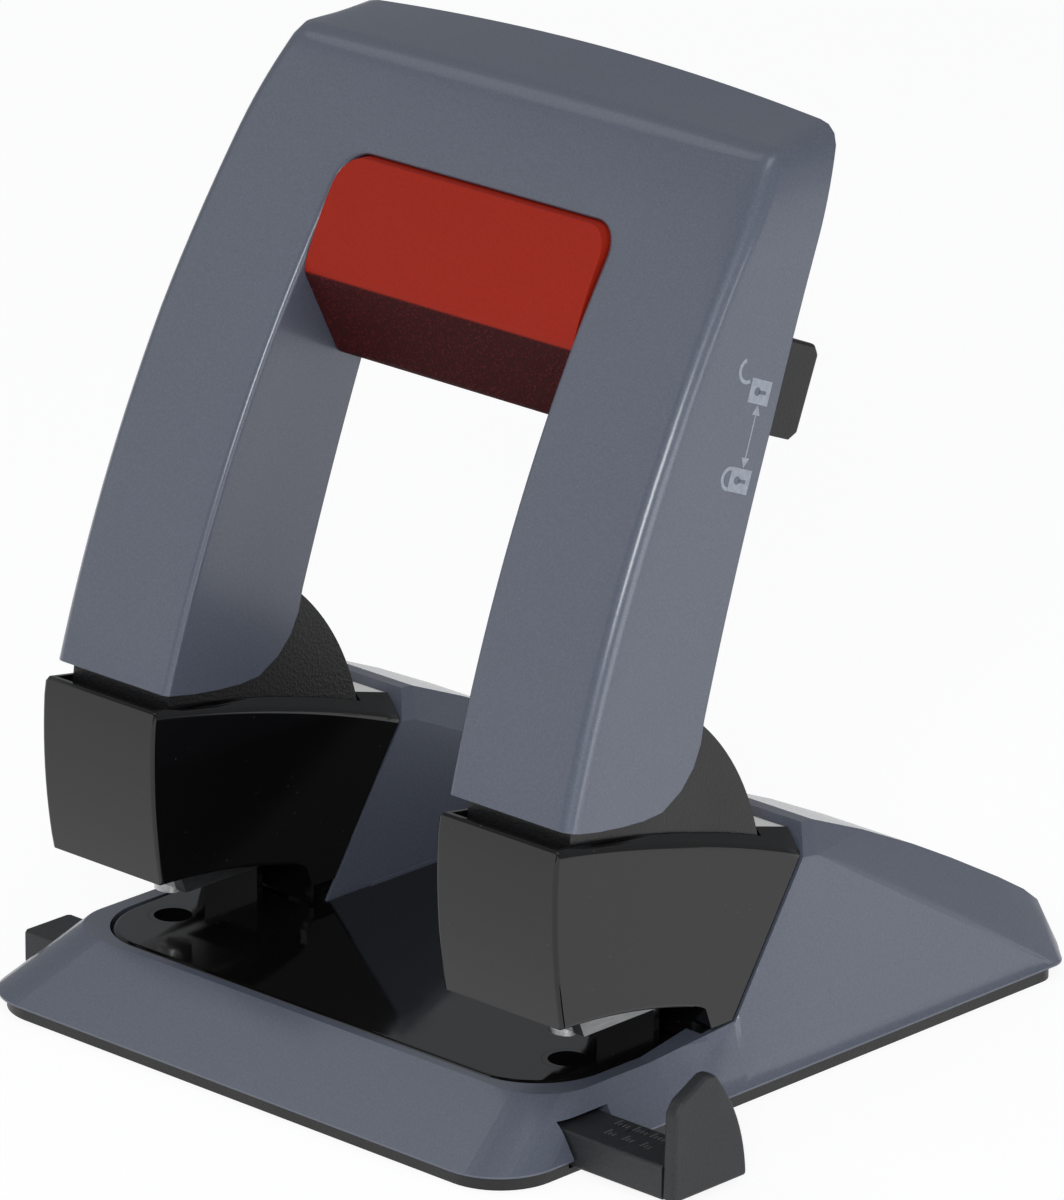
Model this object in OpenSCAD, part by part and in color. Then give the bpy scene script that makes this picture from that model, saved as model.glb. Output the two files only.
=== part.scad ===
// Two-hole desk punch: an upright sprung handle drives two pins through the paper.
// x runs right, y runs back from the line of the pins, z runs up from the table top it stands on.

/* [Handle] */
// Half width of the handle at its feet
handle_half_w = 51.9; // [51.5:0.1:52.3]
// Half width of the handle's opening at its feet
opening_half_w = 28.2; // [28:0.1:28.3]
// Thickness of the handle's front wall
handle_wall = 1.8; // [1.5:0.1:2.2]
// Swing of the handle, in degrees, that gives the whole pin stroke
handle_swing = 19; // [18:0.5:19]
// Length of the lock slider along the leg
lock_len = 14; // [11:0.5:14.5]

/* [Heads] */
// Distance between the two punched holes
hole_spacing = 80; // [80]
// Width of each punch head
head_w = 23.2; // [23:0.1:23.4]
// Wall of the head cover
head_wall = 1.4; // [1.2:0.1:1.5]

/* [Base] */
// Half width of the base cover at its lower edge
base_half_w = 54; // [53.8:0.1:55]
// Front edge of the base cover
base_front = -28.2; // [-30:0.1:-28]
// Rear edge of the base cover
base_rear = 94.5; // [94:0.1:96]
// Height of the cutting table
table_z = 10; // [10]

/* [Punches and guide] */
// Diameter of a punch pin
pin_d = 5.5; // [5.3:0.1:5.5]
// How far the pins travel
pin_stroke = 5; // [4.8:0.1:5]
// Length of the paper guide's bar
guide_len = 130.7; // [125:0.1:132]
// Height of the paper guide's stop plate
stop_h = 18.6; // [15:0.1:20]

/* [Hidden] */
$fn = 48;
gap = 0.3;
far = 200;

// Places shared by the sub-parts
pin_x = hole_spacing / 2;
pivot = [-8.5, 30];
head_in = pin_x - head_w / 2;
head_out = pin_x + head_w / 2;
plate_t = 2;
plate_in = pin_x - 7.5;
plate_out = pin_x + 5.5;
pivot_r = 2.5;
running = 0.05;
cheek_t = 1.25;
cheek_in = head_in + head_wall + 0.35;
cheek_out = head_out - head_wall - 0.35 - cheek_t;
sector_r = 38.2;
lever_w = 7;
nose_r = 2.2;
nose_arm = pin_stroke / (2 * sin(handle_swing / 2));
nose = pivot + nose_arm * [cos(handle_swing / 2), sin(handle_swing / 2)];
pin_entry = 0.5;
pin_tip_z = table_z + pin_stroke - pin_entry;
carrier_z = nose[1] - nose_r - running;
carrier_h = 3;
pin_r = pin_d / 2;
rim_z = 2.3;
bar_y0 = -13;
bar_y1 = -4;
bar_z0 = 1.1;
bar_z1 = 6.3;
guide_end_x = 72.7;
stop_t = 2.4;
hinge = [92, 1.05];
front_round = 10;
rear_round = 4;

// Points from a to b along a shallow arch that stands s proud of the chord, to its left
function bow(a, b, s, n = 12) =
    let (d = b - a, m = [-d[1], d[0]] / norm(d))
    [for (i = [0:n]) a + d * i / n + m * s * (1 - pow(2 * i / n - 1, 2))];
function back(points) = [for (i = [len(points) - 1:-1:0]) points[i]];
function mirrored(half) = concat(half, back([for (p = half) [-p[0], p[1]]]));
function sweep(r, a0, a1, n = 16) =
    [for (i = [0:n]) let (a = a0 + (a1 - a0) * i / n) pivot + r * [cos(a), sin(a)]];

// A profile drawn in y and z, as thick as x0 to x1
module along_x(x0, x1) {
    translate([x0, 0, 0]) rotate([90, 0, 90]) linear_extrude(x1 - x0) children();
}

// A profile drawn in x and z, from y0 to y1
module along_y(y0, y1) {
    translate([0, y1, 0]) rotate([90, 0, 0]) linear_extrude(y1 - y0) children();
}

module both_sides() {
    children();
    mirror([1, 0, 0]) children();
}

module left_side() {
    mirror([1, 0, 0]) children();
}

module round_slab(x, y0, y1, z0, z1, r, rear = 0) {
    translate([0, 0, z0]) linear_extrude(z1 - z0) square_rounded(x, y0, y1, r, rear);
}

// A rectangle with front corners of r, and rear corners of another radius if one is given
module square_rounded(x, y0, y1, r, rear = 0) {
    q = rear > 0 ? rear : r;
    translate([-x + r, y0]) square([2 * (x - r), r]);
    translate([-x, y0 + r]) square([2 * x, y1 - y0 - r - q]);
    translate([-x + q, y1 - q]) square([2 * (x - q), q]);
    for (s = [-1, 1]) {
        translate([s * (x - r), y0 + r]) circle(r);
        translate([s * (x - q), y1 - q]) circle(q);
    }
}

// ---- Handle: side and front outlines ----
foot_front = [-12.6, 50.5];
top_front = [33, 138.6];
top_back = [47.6, 141.7];
foot_back = [15.1, 60.2];
foot_low = [5.5, 48.5];
front_bow = 5;
back_bow = 1.7;
back_tilt = -111.8;
opening_top = 125.5;
shell_side_wall = 1.3;

function back_point(z) =
    let (t = (z - foot_back[1]) / (top_back[1] - foot_back[1]))
    [foot_back[0] + (top_back[0] - foot_back[0]) * t - back_bow * 1.08 * (1 - pow(2 * t - 1, 2)), z];

// The back panel's line, from its foot to its top, set in by w
panel_lo = 60.8;
panel_hi = 137.2;
function panel_line(w) =
    [for (i = [0:16]) back_point(panel_lo + (panel_hi - panel_lo) * i / 16) - [w, 0]];

module handle_side() {
    polygon(concat(
        bow(foot_front, top_front, front_bow, 24),
        back(bow(foot_back, top_back, back_bow, 16)),
        bow(foot_back, foot_low, 2.4),
        bow(foot_low, foot_front, 0.5)));
}

// The line of the front wall's inner face, set in by another w
function front_inside(w) = bow(foot_front + [handle_wall * 1.12 + w, -0.3],
    top_front + [0.6 + w, -handle_wall], front_bow, 24);

// The hollow: open at the back and at the feet
module handle_hollow_side() {
    polygon(concat([[foot_front[0] + handle_wall, 40]], front_inside(0),
        [[far, top_front[1] - handle_wall + 20], [far, 40]]));
}

// The room between the front wall and the back panel
module handle_room_side() {
    polygon(concat(front_inside(-0.5), back(panel_line(2))));
}

module handle_front(t) {
    w = handle_half_w - t;
    polygon(mirrored(concat(
        [[w + 0.2, 40], [w - 1.1, 101], [w - 2.3, 126]],
        bow([w - 2.3, 126], [w - 3.8, 135.4 - t], -0.2),
        bow([w - 3.8, 135.4 - t], [w - 8.9, 140 - t], -1.5),
        bow([w - 8.9, 140 - t], [0, 141.7 - t], -0.4))));
}

module handle_opening(t) {
    w = opening_half_w + t;
    r = 4;
    top = opening_top + t;
    corner = [w - 1.8 - r, top - r];
    polygon(mirrored(concat(
        [[w + 0.5, 30]],
        [for (a = [0:15:90]) corner + r * [cos(a), sin(a)]])));
}

// Puts its children on the back of a leg, with z out of the surface and y down the leg
module on_back(x, z) {
    p = back_point(z);
    translate([x, p[0], p[1]]) rotate([back_tilt, 0, 0]) children();
}

back_screws = [[33.6, 80], [33.6, 114]];
tube_at = [36.6, 131];
tube_r = 3.2;

module back_screw_places() {
    for (s = [-1, 1], p = back_screws) on_back(s * p[0], p[1]) children();
}

module handle_hollow() {
    intersection() {
        along_x(-far, far) handle_hollow_side();
        along_y(-far, far) difference() {
            handle_front(shell_side_wall);
            handle_opening(shell_side_wall);
        }
    }
}

module handle_shell() {
    color([0.38, 0.42, 0.48]) difference() {
        intersection() {
            along_x(-far, far) handle_side();
            along_y(-60, 120) difference() {
                handle_front(0);
                handle_opening(0);
            }
        }
        difference() {
            handle_hollow();
            intersection() {
                along_x(-far, far) handle_side();
                union() {
                    back_screw_places() translate([0, 0, -30]) cylinder(r = 2.6, h = 30 - 2);
                    for (s = [-1, 1]) along_x(s * 36 - 1, s * 36 + 1) intersection() {
                        translate([tube_at[0] - 8, opening_top]) square([12.4, 20]);
                        handle_room_side();
                    }
                }
            }
        }
        back_screw_places() translate([0, 0, -10]) cylinder(r = 1.2, h = 12);
        along_x(-40, 40) translate(tube_at) circle(tube_r);
        press_relief();
    }
}

// Thins the feet's side walls where they come down over the heads' facets at full press
module press_relief() {
    w = head_w / 2 - 0.25;
    for (s = [-1, 1]) along_x(s * pin_x - w, s * pin_x + w)
        translate(pivot) rotate(handle_swing) translate(-pivot)
            polygon(concat(back(head_top_line(1.75)), [[-20, 10], [50, 10]]));
}

module handle_back() {
    color([0.33, 0.37, 0.42]) difference() {
        intersection() {
            along_x(-far, far) polygon(concat(panel_line(0.2), back(panel_line(1.9))));
            along_y(0, 60) difference() {
                handle_front(shell_side_wall + 0.1);
                handle_opening(shell_side_wall + 0.1);
            }
        }
        back_screw_places() {
            translate([0, 0, -1.2]) cylinder(r = 2.3, h = 4);
            translate([0, 0, -6]) cylinder(r = 1.3, h = 10);
        }
        on_back(lock_x, lock_z) translate([-2.8, -5.2, -6]) cube([5.6, 20.4, 10]);
    }
}

module handle_screws() {
    color("silver") back_screw_places() difference() {
        union() {
            translate([0, 0, -1.2]) cylinder(r = 2.2, h = 1.1);
            translate([0, 0, -9]) cylinder(r = 1.2, h = 7.9);
        }
        for (a = [0, 90]) translate([0, 0, -0.5]) rotate(a) cube([2.8, 0.7, 1], center = true);
    }
}

module grip_insert() {
    color([0.72, 0.16, 0.1]) intersection() {
        along_x(-far, far) polygon(concat(
            back(bow([14, 109.6], [22.2, opening_top - 0.1], 0.6)),
            [[21.6, 95.2], [24.4, 94.6], [26.2, 96.4]],
            [[37.8, opening_top - 0.1]]));
        along_y(0, 60) handle_opening(-0.1);
    }
}

module handle_tube() {
    color("silver") along_x(-40, 40) translate(tube_at) difference() {
        circle(tube_r);
        circle(tube_r - 0.8);
    }
}

// ---- Lock: a slider on the right leg's back, with its rod inside the leg ----
lock_x = 44.6;
lock_z = 105;
lock_h = 7.2;
rod_x = 45.9;
rod_in = 6.2;

module lock_button() {
    color([0.1, 0.1, 0.11]) on_back(lock_x, lock_z) {
        difference() {
            translate([-4.9, -lock_len / 2 - 0.5, 0.45]) cube([9.8, lock_len, lock_h]);
            for (s = [-1, 1]) translate([0, s * lock_len / 2 - 0.5, lock_h + 0.45])
                rotate([45, 0, 0]) cube([12, 1.8, 1.8], center = true);
        }
        translate([-2.4, -4.8, -3]) cube([4.8, 9.6, 3.5]);
        translate([-3.6, -6, -rod_in - 1.3]) cube([7.6, 12, rod_in + 1.3 - 2.6]);
    }
}

module lock_rod() {
    color("silver") on_back(rod_x, lock_z) translate([0, 6, -rod_in]) rotate([-90, 0, 0])
        cylinder(r = 0.9, h = 34);
}

// ---- Sector and lever: what ties the handle to the pivot ----
block_lo = 63;
block_hi = 72;

module cheek_outline() {
    polygon(concat(
        [[-3.1, 72], [-6.7, 62], [-9.8, 52], [-10.3, 49], [-10.9, 44], [-13, 33]],
        [[-12.2, 28], [-10.5, 26.2], [-8.5, 25.6], [-4.6, 27]],
        sweep(sector_r, 8, 51),
        [[12.4, 61], [14.4, 66], [16.2, 72]]));
}

module sector(s) {
    color([0.09, 0.09, 0.1]) {
        for (x = [cheek_in, cheek_out]) along_x(x, x + cheek_t) difference() {
            cheek_outline();
            translate(pivot) circle(pivot_r + running);
        }
        along_x(cheek_in + cheek_t, cheek_out) difference() {
            polygon(concat(sweep(sector_r, 13, 51), back(sweep(sector_r - 1.3, 13, 51))));
        }
        along_x(cheek_in + cheek_t, cheek_out)
            polygon([[-10.9, 44], [-9.4, 44], [-8.5, 52], [-5.5, 62], [-6.7, 62], [-9.8, 52],
                [-10.3, 49]]);
        difference() {
            along_x(cheek_in + cheek_t, cheek_out)
                polygon([[-6.3, block_lo], [13.1, block_lo], [16.2, block_hi], [-3.1, block_hi]]);
            along_x(pin_x - lever_w / 2, pin_x + lever_w / 2) lever_outline();
            if (s > 0) on_back(rod_x, lock_z) translate([0, 0, -rod_in]) rotate([-90, 0, 0])
                cylinder(r = 1.2, h = 60);
        }
    }
}

module lever_outline() {
    translate(pivot) circle(4.4);
    translate(nose) circle(nose_r);
    polygon([[-12.4, 32], [-12.2, 28], [-4.4, 31], [4.9, 31], nose, [8.4, 33.6], [6.6, 48],
        [10.5, 64], [17, 84], [9, 84], [2, 64], [-5.5, 50], [-9.4, 40]]);
}

module lever() {
    color("silver") along_x(pin_x - lever_w / 2, pin_x + lever_w / 2) difference() {
        intersection() {
            lever_outline();
            translate([-12.9, 25.6]) square([40, 80]);
        }
        translate(pivot) circle(pivot_r + running);
        translate([0, 42]) circle(2.4);
    }
}

// ---- Heads ----
head_front_top = [-14.8, 47.8];
head_rear_top = [36.5, 34.1];
head_front_low = [-13.4, 21.3];
throat_top = [16.3, 16.2];
throat_low = [17.6, 12.8];
facet = 2.6;
facet_front = 0.7;
facet_rise = [0.85, 1.46];

function head_top_line(dz) = bow(head_front_top + [0, dz], head_rear_top + [0, dz], 1.4, 16);

module head_side() {
    polygon(concat(
        back(head_top_line(0)),
        bow(head_front_top, head_front_low, -0.95),
        bow(head_front_low, throat_top, 1.1),
        [throat_low, [22.6, 12.8], [33, 28.7]]));
}

module head_hollow_side() {
    polygon(concat(
        [[-13.4, far], [-13.4, 30], [-12.5, 21], [-12.5, 16]],
        [[throat_top[0] - 0.2, 16], [throat_low[0] + 1.3, 12], [24, 12], [45, 45], [45, far]]));
}

// The facets round the top, narrow at the front and wide at the rear
module head_top() {
    line = head_top_line(0);
    hull() {
        along_x(head_in, head_out) polygon(concat(back(line), [[-14.5, 44], [30, 30]]));
        for (i = [0:4:16]) {
            f = facet_front + (facet - facet_front) * i / 16;
            y = line[i][0] + (i == 0 ? 0.6 : i == 16 ? -0.5 : 0);
            translate([head_in + f, y, line[i][1] - 0.2])
                cube([head_w - 2 * f, 0.02,
                    0.2 + f * (facet_rise[0] + (facet_rise[1] - facet_rise[0]) * i / 16)]);
        }
    }
}

module head_cover() {
    color([0.05, 0.05, 0.055]) {
        difference() {
            union() {
                along_x(head_in, head_out) head_side();
                head_top();
            }
            along_x(head_in + head_wall, head_out - head_wall) intersection() {
                head_hollow_side();
                polygon(concat(back(head_top_line(0.2)), [[-20, 10], [50, 10]]));
            }
            along_x(head_in + head_wall, head_out - head_wall) intersection() {
                translate([-13.4, 30]) square([60, 60]);
                translate(pivot) circle(sector_r + 0.4, $fn = 96);
            }
        }
        along_x(head_in + 0.5, 47)
            polygon([[17.2, 13], [17.6, 12.9], [17.6, table_z + 0.1], [18.3, table_z + 0.1],
                [18.3, 16.6], [17.2, 16.6]]);
    }
}

module frame_plate_outline() {
    difference() {
        polygon([[-11.8, 24], [-6.5, 21.5], [-4.6, 16.8], [18.6, 16.8], [18.6, 8.1], [-11.8, 8.1],
            [-11.8, 6.7], [-3.2, 6.7], [-3.2, 4.4], [29.4, 4.4], [29.4, 21], [27.4, 27],
            [25.4, 36.2], [9, 40], [-11.8, 43.4]]);
        translate(pivot) circle(pivot_r);
        for (p = rivets) translate(p) circle(1.5);
    }
}

rivets = [[24, 12], [23, 24], [22, 33]];

module frame_plates() {
    color([0.62, 0.63, 0.65]) for (x = [plate_in, plate_out])
        along_x(x, x + plate_t) frame_plate_outline();
}

module frame_rivets() {
    color([0.7, 0.7, 0.72]) both_sides() for (p = rivets) {
        along_x(plate_in, plate_out + plate_t) translate(p) circle(1.5);
        for (x = [plate_in - 0.7, plate_out + plate_t]) along_x(x, x + 0.7)
            translate(p) circle(2.4);
        along_x(plate_in + plate_t, plate_out) translate(p) difference() {
            circle(2.4);
            circle(1.5);
        }
    }
}

module pin_guide() {
    color([0.66, 0.67, 0.69]) difference() {
        union() {
            translate([plate_in + plate_t, -4.4, 16.8])
                cube([plate_out - plate_in - plate_t, 12.4, 1.4]);
            translate([pin_x, 0, 16.8]) cylinder(r = 4, h = 4.4);
        }
        translate([pin_x, 0, 0]) cylinder(r = pin_r + running, h = 40);
    }
}

die_r = 3.7;

module die() {
    color([0.7, 0.71, 0.73]) difference() {
        union() {
            translate([pin_x, 0, 6.7]) cylinder(r = die_r, h = table_z - 6.7);
            translate([plate_in + plate_t, -7, 6.7])
                cube([plate_out - plate_in - plate_t, 17, 1.4]);
        }
        translate([pin_x, 0, 0]) cylinder(r = pin_r + 0.1, h = 20);
    }
}

module pivot_pin() {
    color("silver") along_x(cheek_in, cheek_out + cheek_t) translate(pivot) circle(pivot_r);
}

// ---- Punch pins ----
module punch_pin() {
    color([0.75, 0.76, 0.78]) translate([pin_x, 0, pin_tip_z]) difference() {
        cylinder(r = pin_r, h = carrier_z - pin_tip_z);
        translate([-5, 0, -1.25]) rotate([0, 90, 0]) cylinder(r = 1.9, h = 10);
    }
}

module pin_carrier() {
    color([0.6, 0.61, 0.63]) difference() {
        translate([plate_in + plate_t + gap, -3.7, carrier_z - carrier_h])
            cube([plate_out - plate_in - plate_t - 2 * gap, 12.9, carrier_h]);
        translate([pin_x, 0, 0]) cylinder(r = pin_r, h = 60);
    }
}

module pin_clip() {
    color("silver") translate([pin_x, 0, carrier_z - carrier_h - 0.6]) difference() {
        cylinder(r = 3.5, h = 0.6);
        translate([0, 0, -1]) cylinder(r = pin_r, h = 3);
    }
}

spring_lo = 18.2;
spring_turns = 4.5;
spring_steps = 14;
spring_r = 4.75;
wire_r = 0.35;
wire_sides = 6;

// A round wire bent to a helix
module return_spring() {
    hi = carrier_z - carrier_h - 0.6;
    rise = hi - spring_lo - 2 * wire_r;
    rings = spring_turns * spring_steps;
    points = [for (i = [0:rings], k = [0:wire_sides - 1])
        let (a = 360 * i / spring_steps, b = 360 * k / wire_sides, r = spring_r + wire_r * cos(b))
        [r * cos(a), r * sin(a), rise * i / rings + wire_r + wire_r * sin(b)]];
    sides = [for (i = [0:rings - 1], k = [0:wire_sides - 1])
        let (j = (k + 1) % wire_sides, a = i * wire_sides, b = a + wire_sides)
        [a + k, b + k, b + j, a + j]];
    first = [for (k = [0:wire_sides - 1]) k];
    last = [for (k = [wire_sides - 1:-1:0]) rings * wire_sides + k];
    color("silver") translate([pin_x, 0, spring_lo])
        polyhedron(points, concat(sides, [first, last]), convexity = 10);
}

// ---- Base ----
ramp_crest = [[22.8, 12.8], [39, 37.8], [41.3, 37.6], [52.4, 33], [63.8, 27.6], [72, 23.3],
    [82.8, 17.3], [88.6, 13.8], [91.9, 11.2], [93.6, 7.8], [94.4, rim_z]];
ramp_edge = [[22.8, 12.8], [36.4, 33.8], [39.4, 33.4], [51.9, 27.7], [60.6, 23.4], [68.6, 19.2],
    [81.8, 12.3], [90.6, 7.2], [93.4, 4.6], [94.2, rim_z]];

// A side line of the ramp, set in by w at the top and both ends
module ramp_line(line, w) {
    polygon(concat([[15.7 + w, rim_z]],
        [for (p = line) [p[0] - (p[0] > 60 ? w : -w), max(p[1] - w, rim_z)]]));
}

// Two crests with a long facet outside each, down to a slightly wider foot
module ramp(w) {
    hull() {
        along_x(head_in + facet + w, head_out - facet - w) ramp_line(ramp_crest, w);
        along_x(head_in + w, head_out + 0.2 - w) ramp_line(ramp_edge, w);
        translate([0, 0, rim_z]) linear_extrude(0.2) intersection() {
            square_rounded(base_half_w - w, base_front, base_rear - w, front_round, rear_round);
            translate([head_in + w, 22]) square([60, 90]);
        }
    }
}

module shoulder() {
    hull() {
        along_y(7, 7.2) polygon([[47.2, rim_z], [base_half_w, rim_z], [49.4, table_z], [47.2, table_z]]);
        along_y(22, 22.2) polygon([[47.2, rim_z], [base_half_w, rim_z], [51.8, 12.6], [47.2, 12.6]]);
    }
}

module base_cover() {
    color([0.38, 0.42, 0.48]) difference() {
        union() {
            hull() {
                round_slab(base_half_w, base_front, base_rear, rim_z, rim_z + 0.3,
                    front_round, rear_round);
                round_slab(49.4, -14.6, 91, table_z - 0.2, table_z, 9);
            }
            both_sides() difference() {
                union() {
                    shoulder();
                    ramp(0);
                }
                along_x(head_in - 1, 47.2) square([23, 20]);
            }
        }
        difference() {
            union() {
                both_sides() ramp(2);
                translate([-47.5, -14, rim_z - 1]) cube([95, 105, 8.2 - rim_z + 1]);
                translate([-50, -20, rim_z - 1]) cube([100, 110, 4 - rim_z + 1]);
            }
            base_screw_places() translate([0, 0, 4.4]) difference() {
                cylinder(r = 3.4, h = 40);
                translate([0, 0, -1]) cylinder(r = 1.5, h = 9);
            }
        }
        translate([0, 0, 8.1]) linear_extrude(10) table_outline(0.05);
        for (s = [-1, 1]) translate([s * 52, (bar_y0 + bar_y1) / 2, 0])
            cube([12, bar_y1 - bar_y0 + 0.8, 14.6], center = true);
        both_sides() {
            head_pocket();
            translate([22.5, 86, 1]) cube([15, 7.4, 2.6]);
        }
    }
}

// Room for the head and its frame where they stand in the cover
module head_pocket() {
    translate([head_in - 0.2, 17, 8]) cube([head_w + 0.2 - head_wall, 13, 10]);
    along_x(head_in + 1.6, head_out - 1.6)
        polygon([[17, 8], [30.5, 8], [38, 31], [32, 31], [22, 17.5], [17, 17.5]]);
}

module table_outline(t) {
    translate([0, 0]) square_rounded(47 + t, -13 - t, 17.4 + t, 12);
    translate([-47 - t, 0]) square([94 + 2 * t, 17.4 + t]);
    translate([-head_in + 0.2 - t, 10]) square([2 * (head_in - 0.2 + t), 78 + t]);
}

module cutting_table() {
    color([0.04, 0.04, 0.045]) difference() {
        translate([0, 0, 8.2]) linear_extrude(table_z - 8.2) table_outline(0);
        both_sides() translate([pin_x, 0, 0]) cylinder(r = die_r + 0.05, h = 20);
    }
}

screw_places = [[40, 52], [40, 80]];

module base_screw_places() {
    both_sides() for (p = screw_places) translate([p[0], p[1], 0]) children();
}

module base_plate() {
    color([0.55, 0.56, 0.58]) difference() {
        union() {
            translate([-47.2, -3.2, 3.2]) cube([94.4, 91, 1.2]);
            for (s = [-1, 1], x = [-4.8, 2.2]) translate([s * 30 + x - 1, hinge[0] - 4.4, 0.3])
                cube([4.6, 5.4, 2.9]);
        }
        both_sides() translate([pin_x, 0, 0]) cylinder(r = 3.1, h = 10);
        base_screw_places() cylinder(r = 1.6, h = 10);
        along_x(-60, 60) translate(hinge) circle(0.6);
    }
}

module guide_rail() {
    color([0.12, 0.12, 0.13]) difference() {
        translate([-25, bar_y0 - 1, 2.6]) cube([50, bar_y1 - bar_y0 + 1.7, 8.1 - 2.6]);
        translate([-30, bar_y0 - gap, 0]) cube([60, bar_y1 - bar_y0 + 2 * gap, bar_z1 + gap]);
    }
}

module paper_stops() {
    color([0.08, 0.08, 0.09]) both_sides() translate([plate_in + plate_t, 12, table_z])
        cube([plate_out - plate_in - plate_t, 1.2, 6.2]);
}

module base_screws() {
    color("silver") base_screw_places() {
        difference() {
            translate([0, 0, 1.9]) cylinder(r = 2.8, h = 1.3);
            for (a = [0, 90]) translate([0, 0, 1.9]) rotate(a) cube([3.4, 0.8, 1.2], center = true);
        }
        translate([0, 0, 3.2]) cylinder(r = 1.5, h = 6);
    }
}

module tray_hinge_pins() {
    color("silver") both_sides() along_x(24, 36) translate(hinge) circle(0.6);
}

// ---- Paper guide ----
module guide_bar() {
    color([0.2, 0.21, 0.22]) difference() {
        translate([guide_end_x - guide_len, bar_y0, bar_z0])
            cube([guide_len - stop_t, bar_y1 - bar_y0, bar_z1 - bar_z0]);
        for (i = [0:5]) translate([56 + 2.2 * i, bar_y1 - 2.6 - (i % 2), bar_z1 - 0.3])
            cube([0.4, 1.6 + (i % 2), 1]);
    }
}

module guide_stop() {
    color([0.2, 0.21, 0.22]) along_x(guide_end_x - stop_t, guide_end_x)
        polygon(concat([[bar_y0, bar_z0]],
            bow([2.2, bar_z0], [-4.6, stop_h - 0.3], -1.6),
            [[-6.2, stop_h], [bar_y0 + 1.6, stop_h - 2.6], [bar_y0 + 0.4, stop_h - 4.2]]));
}

// ---- Chip tray ----
module tray_cut(s) {
    translate([s * 30 - 7.5, hinge[0] - 4.8, -1]) cube([15, 10, 5]);
}

pad_places = [[40, -16], [40, 72]];

module chip_tray() {
    color([0.1, 0.1, 0.11]) {
        difference() {
            round_slab(base_half_w - 1, base_front + 1.2, hinge[0] + 0.4, 0, rim_z - 0.2,
                front_round - 0.5, rear_round - 0.5);
            round_slab(base_half_w - 2.6, base_front + 2.8, hinge[0] - 6, 0.9, 5, front_round - 2);
            for (s = [-1, 1]) {
                tray_cut(s);
                translate([s * 52, (bar_y0 + bar_y1) / 2, 2.9])
                    cube([12, bar_y1 - bar_y0 + 0.8, 4], center = true);
                for (p = pad_places) translate([s * p[0], p[1], -1]) cylinder(r = 6, h = 1.5);
            }
        }
        for (s = [-1, 1]) difference() {
            union() {
                translate([s * 30 - 0.9, hinge[0] - 6, 0]) cube([1.8, 6, 2.1]);
                along_x(s * 30 - 0.9, s * 30 + 0.9) translate(hinge) circle(1.05);
            }
            along_x(-60, 60) translate(hinge) circle(0.65);
        }
    }
}

module rubber_pads() {
    color([0.16, 0.16, 0.16]) both_sides() for (p = pad_places)
        translate([p[0], p[1], 0]) cylinder(r = 6, h = 0.5);
}

module head_cover_left() { left_side() head_cover(); }
module head_cover_right() { head_cover(); }
module frame_plates_left() { left_side() frame_plates(); }
module frame_plates_right() { frame_plates(); }
module pin_guide_left() { left_side() pin_guide(); }
module pin_guide_right() { pin_guide(); }
module die_left() { left_side() die(); }
module die_right() { die(); }
module pivot_pin_left() { left_side() pivot_pin(); }
module pivot_pin_right() { pivot_pin(); }
module lever_left() { left_side() lever(); }
module lever_right() { lever(); }
module sector_left() { left_side() sector(-1); }
module sector_right() { sector(1); }
module punch_pin_left() { left_side() punch_pin(); }
module punch_pin_right() { punch_pin(); }
module pin_carrier_left() { left_side() pin_carrier(); }
module pin_carrier_right() { pin_carrier(); }
module pin_clip_left() { left_side() pin_clip(); }
module pin_clip_right() { pin_clip(); }
module return_spring_left() { left_side() return_spring(); }
module return_spring_right() { return_spring(); }

base_cover();
cutting_table();
base_plate();
guide_rail();
paper_stops();
base_screws();
tray_hinge_pins();
head_cover_left();
head_cover_right();
frame_plates_left();
frame_plates_right();
frame_rivets();
pin_guide_left();
pin_guide_right();
die_left();
die_right();
pivot_pin_left();
pivot_pin_right();
handle_shell();
handle_back();
grip_insert();
handle_tube();
handle_screws();
lever_left();
lever_right();
sector_left();
sector_right();
punch_pin_left();
punch_pin_right();
pin_carrier_left();
pin_carrier_right();
pin_clip_left();
pin_clip_right();
return_spring_left();
return_spring_right();
lock_button();
lock_rod();
guide_bar();
guide_stop();
chip_tray();
rubber_pads();
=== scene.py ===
"""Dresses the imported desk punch: rounded housings, marks, finishes, studio and camera."""

import logging
import math
from contextlib import contextmanager
from dataclasses import dataclass, field
from enum import Enum
from typing import Callable, Iterator, Optional, Sequence, Union

import bmesh
import bpy
from mathutils import Matrix, Vector


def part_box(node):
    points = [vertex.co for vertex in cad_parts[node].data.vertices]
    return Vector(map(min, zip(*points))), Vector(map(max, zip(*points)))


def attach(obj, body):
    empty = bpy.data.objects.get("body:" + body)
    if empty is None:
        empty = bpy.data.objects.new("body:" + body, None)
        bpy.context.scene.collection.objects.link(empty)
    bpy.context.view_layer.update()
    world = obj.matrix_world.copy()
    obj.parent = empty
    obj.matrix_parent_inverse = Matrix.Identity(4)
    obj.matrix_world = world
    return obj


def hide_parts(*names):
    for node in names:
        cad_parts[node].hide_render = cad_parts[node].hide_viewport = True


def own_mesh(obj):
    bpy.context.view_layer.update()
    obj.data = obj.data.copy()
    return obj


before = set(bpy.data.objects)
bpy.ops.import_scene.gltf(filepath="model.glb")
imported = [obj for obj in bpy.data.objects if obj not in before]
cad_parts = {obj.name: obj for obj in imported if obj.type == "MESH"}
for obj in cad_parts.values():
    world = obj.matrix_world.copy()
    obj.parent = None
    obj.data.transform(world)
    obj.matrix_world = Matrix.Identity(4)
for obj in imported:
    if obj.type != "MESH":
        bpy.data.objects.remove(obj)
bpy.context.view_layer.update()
LOG = logging.getLogger("punch")
MM = 0.001
MERGE = 0.003 * MM
FLAT = math.radians(0.3)
CREASE = 20.0
SHARP = 25.0
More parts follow.
